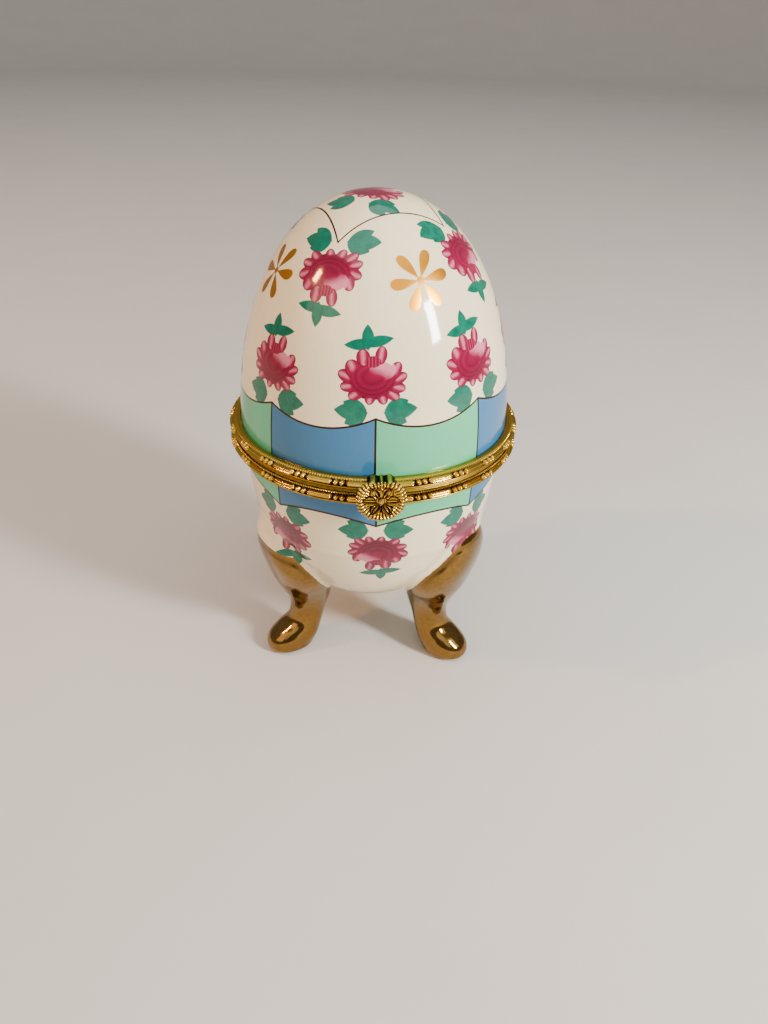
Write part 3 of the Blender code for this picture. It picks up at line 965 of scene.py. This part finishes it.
# Brass: painted highlight where the relief stands out, painted shade in its hollows, with faint stains
def brass(name):
    bright, dark, low, high, polish = brasses[name]
    settings = {"Metallic": 1.0, "Specular Tint": (1.0, 0.9, 0.7, 1.0)}
    material, start, shader, place = newMaterial(name, settings)
    raised = attributeOf(start, "raised")
    stain = noiseOf(place, 1.4, 4.0, 0.65)
    grain = noiseOf(place, 9.0, 2.0, 0.6)
    # painted highlight and painted shade from the pieces' painted light level, broken up by the stains
    lightAndStain = stain.times(0.5, raised - 0.25).rise(low, high)
    colour = stain.rise(0.35, 0.75).mix(lightAndStain.mix(dark, bright), lightAndStain.mix(dark, warmStain))
    feed(shader, "Base Color", colour)
    feed(shader, "Roughness", lightAndStain.blend(0.5, polish) + grain * 0.08)
    addBump(start, shader, grain, 0.3, 0.03 * mm)
    return material


# FLOWER CLASP

clasp = {
    "radius": 5.0 * mm,
    "drop": 0.4 * mm,
    "thickness": 1.9 * mm,
    "back": -33.2 * mm,
    "rings": 90,
    "columns": 432,
    "petals": 6,
    "petalHalf": 0.17,  # half width of a petal, as a share of the radius
    "petalSpan": (0.17, 0.74),
    "boss": 0.14,
    "tabCut": 0.2,  # how far the edge draws back over the tab, as a share
    "flutes": 36,
    "lobes": 12,
    "tabWidth": 5.4 * mm,
    "tabRibs": (0.0, 0.39, 0.61, 1.0),
    "ribDepth": 0.5 * mm,
    "tabNotch": 0.7 * mm,
    "tabSheet": 0.2 * mm,
    "tabFront": -33.8 * mm,
    "tabLow": 0.8 * mm,
    "tabHigh": 3.2 * mm,
    "tabShort": 0.7 * mm,
    "tabBend": 2.0 * mm,
    "tabRows": 60,
    "tabColumns": 73,
}


# Height of the flower's front as a share of its thickness, and its painted light. A domed boss;
# pointed petals with a lifted edge and a ridge along the middle of their hollow; and flutes that
# run out between them to a ring which curls back. Painted highlights fall on the petals' edges and
# ridges, the flutes' crests and the boss's middle; painted shade fills the moats and flute hollows.
def flowerHeight(share, angle):
    turn = math.tau / clasp["petals"]
    fold = (angle + turn / 2) % turn - turn / 2
    start, end = clasp["petalSpan"]
    along = np.clip((share * np.cos(fold) - start) / (end - start), 0, 1)
    room = clasp["petalHalf"] * np.sin(math.pi * along**0.8) ** 0.8
    across = np.abs(share * np.sin(fold)) / np.maximum(room, 1e-4)
    petal = np.clip((1.12 - across) / 0.12, 0, 1) * (room > 0.004)
    edge = np.exp(-(((across - 0.86) / 0.16) ** 2))
    ridge = np.exp(-((across / 0.16) ** 2))
    moat = np.exp(-(((across - 1.26) / 0.2) ** 2)) * (room > 0.004)
    flute = np.abs(np.cos(clasp["flutes"] * angle / 2))
    depth = np.clip((share - 0.3) * 3, 0, 1)
    curl = np.clip((share - 0.7) / 0.3, 0, 1)
    ring = 0.46 + 0.2 * np.sin(math.pi * np.clip(curl * 1.2, 0, 1)) - 0.2 * curl**2
    ground = ring + (0.17 * flute - 0.05) * depth - 0.12 * moat
    leaf = 0.56 + 0.24 * edge + 0.14 * ridge - 0.10 * share
    surface = ground * (1 - petal) + leaf * petal
    boss = 1 - (share / clasp["boss"]) ** 2
    dome = np.where(boss > 0, 0.60 + 0.22 * np.sqrt(np.maximum(boss, 0)), 0)
    height = np.clip(np.maximum(surface, dome), 0.1, 0.99)
    # painted light: flute crests lit, moats round the petals shaded, petal edges and ridges lit, the boss
    # lit at its top
    rays = 0.55 * (1 - depth) + (0.1 + 0.9 * flute**2) * depth - 0.8 * moat
    bright = rays * (1 - petal) + (0.05 + 0.95 * edge + 0.8 * ridge) * petal
    return height, np.where(boss > 0, 0.15 + 0.4 * np.maximum(boss, 0), bright)


# The flower as a disc: rings from the boss to the scalloped edge, over it and back to the middle
def flowerMesh():
    angle = np.linspace(0, math.tau, clasp["columns"], endpoint=False)
    share = np.linspace(0, 1, clasp["rings"])[:, None]
    height, bright = flowerHeight(share, angle[None])
    lobes = 0.5 + 0.5 * np.cos(clasp["lobes"] * angle)
    teeth = np.abs(np.cos(clasp["flutes"] * angle / 2))
    notch = 0.03 * (1 - lobes) + 0.05 * (1 - teeth)
    radius = clasp["radius"] * share * (1 - np.clip((share - 0.7) / 0.3, 0, 1) ** 2 * notch)
    overTab = np.clip((np.sin(angle) - 0.8) / 0.1, 0, 1)
    radius = radius * (1 - clasp["tabCut"] * overTab * np.clip((share - 0.5) / 0.5, 0, 1))
    height[0] = height[0].mean()
    disc = np.stack([radius * np.cos(angle), radius * np.sin(angle), height * clasp["thickness"]], 2)
    rows = [disc]
    for size, level in ((1.0, 0.15), (0.97, 0.02), (0.6, 0.0), (0.0, 0.0)):
        ring = disc[-1] * np.array([size, size, 0]) + np.array([0, 0, level * clasp["thickness"]])
        rows.append(ring[None])
    points = np.concatenate(rows)
    # painted shade: the flower's edge and back painted dark
    raised = np.concatenate([bright, np.full((4, len(angle)), 0.2)])
    middle = seam - clasp["drop"]
    placed = np.stack([points[..., 0], clasp["back"] - points[..., 2], middle + points[..., 1]], -1)
    return gridMesh("flower", placed, values={"raised": raised})


# The tab: a ribbed strip carried up the front of the lid's rim, round a bend and back over its
# upper edge towards the porcelain. Each section is a loop: the ribbed outer side, then the inner side.
def tabMesh():
    bend, depth = clasp["tabBend"], clasp["ribDepth"]
    straight = clasp["tabHigh"] - clasp["tabLow"] - bend
    reach = clasp["tabFront"] + bend
    share = np.linspace(0, 1, clasp["tabColumns"])
    edges = np.array(clasp["tabRibs"])
    i = np.clip(np.searchsorted(edges, share) - 1, 0, len(edges) - 2)
    rib = np.sin(math.pi * (share - edges[i]) / (edges[i + 1] - edges[i])) * depth
    x = (share - 0.5) * clasp["tabWidth"]
    crest = rib / depth
    last = -np.sqrt(egg["lidRadius"] ** 2 - x**2) - clasp["tabShort"] - clasp["tabNotch"] * (1 - crest)
    part = np.linspace(0, 1, clasp["tabRows"])[:, None]
    up = np.clip(part / 0.15, 0, 1)
    around = np.clip((part - 0.15) / 0.5, 0, 1) * math.pi / 2
    over = np.clip((part - 0.65) / 0.35, 0, 1)

    def sheet(lift):
        lift = lift - depth * np.sin(around) ** 2
        y = reach - bend * np.cos(around) - lift * np.cos(around) + over * (last - reach)
        z = seam + clasp["tabLow"] + straight * up + (bend + lift) * np.sin(around)
        return np.stack([np.broadcast_to(x, y.shape), y, z], -1)

    inner = sheet(np.full((1, len(x)), -clasp["tabSheet"]))
    loops = np.concatenate([sheet(rib[None]), inner[:, ::-1]], 1)
    points = closeEnds(loops)
    # painted highlight along each rib's crest; the rest of the tab and its inner side painted in shade
    bright = np.concatenate([0.9 * crest**6, np.full(len(x), 0.2)])
    return gridMesh("tab", points, values={"raised": np.repeat(bright[None], len(points), 0)})


# Meshes as one, each with its own vertices
def joinMeshes(name, meshes):
    gathered = bmesh.new()
    for mesh in meshes:
        gathered.from_mesh(mesh)
    joined = bpy.data.meshes.new(name)
    gathered.to_mesh(joined)
    gathered.free()
    return joined


# STUD, HINGE AND PIN

hinge = {
    "width": 12.0 * mm,
    "leafInset": 0.1 * mm,
    "leafSheet": 0.7 * mm,
    "webSheet": 1.1 * mm,
    "knuckle": 1.3 * mm,
    "gap": 0.3 * mm,
    "pin": 0.68 * mm,
    "bore": 0.75 * mm,
    "count": 3,
    "sides": 56,
    "back": 32.3 * mm,  # inner side of the leaves, just outside the beads
}

stud = {"radius": 0.9 * mm, "back": -32.3 * mm, "length": 0.6 * mm, "drop": 1.9 * mm, "sides": 48}


# A rounded rectangle as a loop of points: a superellipse of high power
def softBox(low, high, count, power=8):
    oval = superOval(np.linspace(0, math.tau, count, endpoint=False), power)
    low, high = np.array(low), np.array(high)
    return (low + high) / 2 + np.stack(oval, 1) * (high - low) / 2


# A strip bent round the rim behind: its section, radius by height, is carried along X
def bentStrip(start, end, sheet, low, high):
    section = softBox((hinge["back"], seam + low), (hinge["back"] + sheet, seam + high), 48)
    share = np.linspace(0, 1, 36)
    shrink = np.sqrt(1 - np.clip((np.abs(share - 0.5) - 0.49) / 0.01, 0, 1) ** 2)
    middle = section.mean(0)
    x = start + (end - start) * share
    angle = np.arcsin(x / hinge["back"])[:, None]
    radius = middle[0] + (section[None, :, 0] - middle[0]) * shrink[:, None]
    height = middle[1] + (section[None, :, 1] - middle[1]) * shrink[:, None]
    return gridMesh("strip", np.stack([radius * np.sin(angle), radius * np.cos(angle), height], -1))


# A profile turned round the hinge's pin, its heights running along X
def roundPin(profile):
    return turned(profile, hinge["sides"], (0, 1, 0), (0, 0, 1), (1, 0, 0), (0, hingeY, seam))


# A closed barrel round the hinge's pin, with its corners rounded off by quarter circles
def barrel(start, end, radius, corner):
    arc = np.linspace(0, math.pi / 2, 6)
    out, back = radius - corner + corner * np.sin(arc), corner - corner * np.cos(arc)
    left, right = np.stack([out, start + back], 1), np.stack([out, end - back], 1)[::-1]
    return gridMesh("barrel", roundPin(np.concatenate([[(0, start)], left, right, [(0, end)]])))


# Where each knuckle starts and ends along the pin: equal lengths with a gap between them
def knuckleSpans():
    count, gap, width = hinge["count"], hinge["gap"], hinge["width"]
    length = (width - (count - 1) * gap) / count
    starts = [-width / 2 + i * (length + gap) for i in range(count)]
    return [(start, start + length) for start in starts]


# A hinge leaf: the bent strip, and for each knuckle a web and a barrel joined on, bored for the pin
def leafMesh(name, spans, rim):
    side = 1 if rim["far"] > 0 else -1
    clear = hinge["knuckle"] + hinge["gap"]
    near, far = sorted((side * clear, rim["far"] - side * hinge["leafInset"]))
    plate = bentStrip(-hinge["width"] / 2, hinge["width"] / 2, hinge["leafSheet"], near, far)
    added = []
    for start, end in spans:
        low, high = sorted((0.0, side * (clear + 0.3 * mm)))
        added.append(bentStrip(start + 0.08 * mm, end - 0.08 * mm, hinge["webSheet"], low, high))
        added.append(barrel(start, end, hinge["knuckle"], 0.12 * mm))
    mesh = combine(plate, added, "UNION")
    mesh = combine(mesh, [barrel(-hinge["width"], hinge["width"], hinge["bore"], 0.1 * mm)], "DIFFERENCE")
    mesh.name = name
    setValues(mesh, "raised", np.full(len(mesh.vertices), 0.8))
    return mesh


# The profile of a shaft with ends that are domed as quarter ellipses
def domedProfile(radius, start, end, dome):
    arc = np.linspace(0, math.pi / 2, 10)
    out, back = radius * np.sin(arc), dome * (1 - np.cos(arc))
    return np.concatenate([np.stack([out, start + back], 1), np.stack([out, end - back], 1)[::-1]])


# The pin, a little longer than the row of knuckles
def pinMesh():
    half = hinge["width"] / 2 + hinge["gap"]
    points = roundPin(domedProfile(hinge["pin"], -half, half, 0.25 * mm))
    return gridMesh("hinge_pin_visual", points, values={"raised": np.full(points.shape[:2], 0.9)})


# The stud, a short shaft that points forwards from the base's rim
def studMesh():
    profile = domedProfile(stud["radius"], 0.0, stud["length"], 0.22 * mm)
    place = (0, stud["back"], seam - stud["drop"])
    points = turned(profile, stud["sides"], (1, 0, 0), (0, 0, 1), (0, -1, 0), place)
    return gridMesh("clasp_stud_visual", points, values={"raised": np.full(points.shape[:2], 0.8)})


# STAGE: floor, light and camera

stage = {
    "floorColour": tint(202, 199, 194),
    "floorMottle": tint(194, 191, 186),
    "floorReach": 1.6,
    "sweepRadius": 0.6,
    "wallHeight": 1.0,
    "worldColour": tint(204, 203, 202),
    "worldStrength": 0.5,
    "cameraPlace": (-8.82 * mm, -162.84 * mm, 139.75 * mm),
    "cameraTurn": 4.17,  # degrees right of +Y
    "cameraDown": 33.117,
    "cameraRoll": 1.825,
    "focalPixels": 800,
    "imageSize": (768, 1024),
    # name: place, what it looks at, width and height, power, colour
    "lights": {
        "windowLight": ((0.378, -0.29, 0.285), (0, 0, 0.08), (0.07, 0.17), 5.2, (1.0, 0.97, 0.93)),
        "skyLight": ((0.05, -0.05, 1.3), (0, 0, 0.05), (1.5, 1.5), 11.0, (1.0, 0.985, 0.96)),
        "frontLight": ((0.0, -0.95, 0.95), (0, 0, 0.05), (1.3, 0.7), 3.2, (1.0, 0.93, 0.80)),
        "leftLight": ((-0.82, -0.55, 0.62), (0, 0, 0.05), (0.7, 0.5), 1.9, (1.0, 0.72, 0.42)),
        "rightLight": ((0.85, -0.50, 0.66), (0, 0, 0.05), (0.6, 0.45), 1.5, (1.0, 0.90, 0.74)),
        "lampLight": ((-0.66, -0.12, 0.60), (0, 0, 0.07), (0.06, 0.10), 3.4, (1.0, 0.42, 0.14)),
    },
}


# A round floor that sweeps up in a quarter circle and goes on as a wall
def stageMesh():
    reach, radius = stage["floorReach"], stage["sweepRadius"]
    arc = np.linspace(0, math.pi / 2, 24)
    across = np.concatenate([[0, 0.4, 0.9], reach + radius * np.sin(arc), [reach + radius]])
    height = np.concatenate([[0, 0, 0], radius * (1 - np.cos(arc)), [stage["wallHeight"]]])
    mesh = gridMesh("stageFloor", turned(np.stack([across, height], 1), 96))
    mesh.flip_normals()
    mesh.shade_smooth()
    return mesh


# The floor with its paper, an even pale world and the area lights
def makeStage():
    material, start, shader, place = newMaterial("stagePaper", {"Roughness": 0.9})
    grain = noiseOf(place, 0.02, 3.0)
    feed(shader, "Base Color", grain.mix(stage["floorColour"], stage["floorMottle"]))
    mesh = stageMesh()
    mesh.materials.append(material)
    floor = bpy.data.objects.new("stageFloor", mesh)
    bpy.context.scene.collection.objects.link(floor)
    world = bpy.data.worlds.new("softRoom")
    world.use_nodes = True
    background = world.node_tree.nodes["Background"]
    background.inputs["Color"].default_value = stage["worldColour"]
    background.inputs["Strength"].default_value = stage["worldStrength"]
    bpy.context.scene.world = world
    for name, (place, target, size, power, colour) in stage["lights"].items():
        lamp = bpy.data.lights.new(name, "AREA")
        lamp.shape = "RECTANGLE"
        lamp.size, lamp.size_y = size
        lamp.energy = power
        lamp.color = colour
        light = bpy.data.objects.new(name, lamp)
        light.location = place
        light.rotation_euler = (Vector(target) - Vector(place)).to_track_quat("-Z", "Y").to_euler()
        bpy.context.scene.collection.objects.link(light)
    print("stage ready")


# The camera stands where the photograph was taken from: turned right of +Y, tipped down and rolled
def makeCamera():
    turn, down, roll = (math.radians(stage[key]) for key in ("cameraTurn", "cameraDown", "cameraRoll"))
    ahead = Vector((math.sin(turn) * math.cos(down), math.cos(turn) * math.cos(down), -math.sin(down)))
    level = Vector((math.cos(turn), -math.sin(turn), 0))
    over = level.cross(ahead)
    right = level * math.cos(roll) + over * math.sin(roll)
    up = over * math.cos(roll) - level * math.sin(roll)
    lens = bpy.data.cameras.new("photoCamera")
    lens.sensor_width = 36
    lens.lens = lens.sensor_width * stage["focalPixels"] / max(stage["imageSize"])
    lens.clip_start, lens.clip_end = 0.005, 10
    camera = bpy.data.objects.new("photoCamera", lens)
    axes = Matrix((right, up, -ahead)).transposed().to_4x4()
    camera.matrix_world = Matrix.Translation(Vector(stage["cameraPlace"])) @ axes
    bpy.context.scene.collection.objects.link(camera)
    bpy.context.scene.camera = camera
    print("camera ready")


# THE BOX

# Each piece with its material, body and the solid that it stands for
def makeBox():
    makeCamera()
    makeStage()
    addPiece("porcelainLid", lidMesh(), lidPorcelain(), "lid", ["lid_shell"], 60)
    addPiece("porcelainBowl", bowlMesh(), bowlPorcelain(), "base", ["base_bowl"], 70)
    rimBrass = brass("rimBrass")
    upper = rimMesh("beadedLidRim", egg["lidRadius"], lidRim)
    addPiece("beadedLidRim", upper, rimBrass, "lid", ["lid_rim"])
    lower = rimMesh("beadedBaseRim", egg["bowlRadius"], baseRim)
    addPiece("beadedBaseRim", lower, rimBrass, "base", ["base_rim"])
    claspBrass = brass("claspBrass")
    flower = joinMeshes("flowerClasp", [flowerMesh(), tabMesh()])
    addPiece("flowerClasp", flower, claspBrass, "lid", ["flower_clasp"])
    addPiece("claspStud", studMesh(), claspBrass, "base", ["clasp_stud"])
    hingeBrass = brass("hingeBrass")
    spans = knuckleSpans()
    lidLeaf = leafMesh("lidHingeLeaf", spans[1::2], lidRim)
    addPiece("lidHingeLeaf", lidLeaf, hingeBrass, "lid", ["lid_hinge_leaf"], 35)
    baseLeaf = leafMesh("baseHingeLeaf", spans[0::2], baseRim)
    addPiece("baseHingeLeaf", baseLeaf, hingeBrass, "base", ["base_hinge_leaf"], 35)
    addPiece("hingePin", pinMesh(), hingeBrass, "base", ["hinge_pin"])


makeBox()
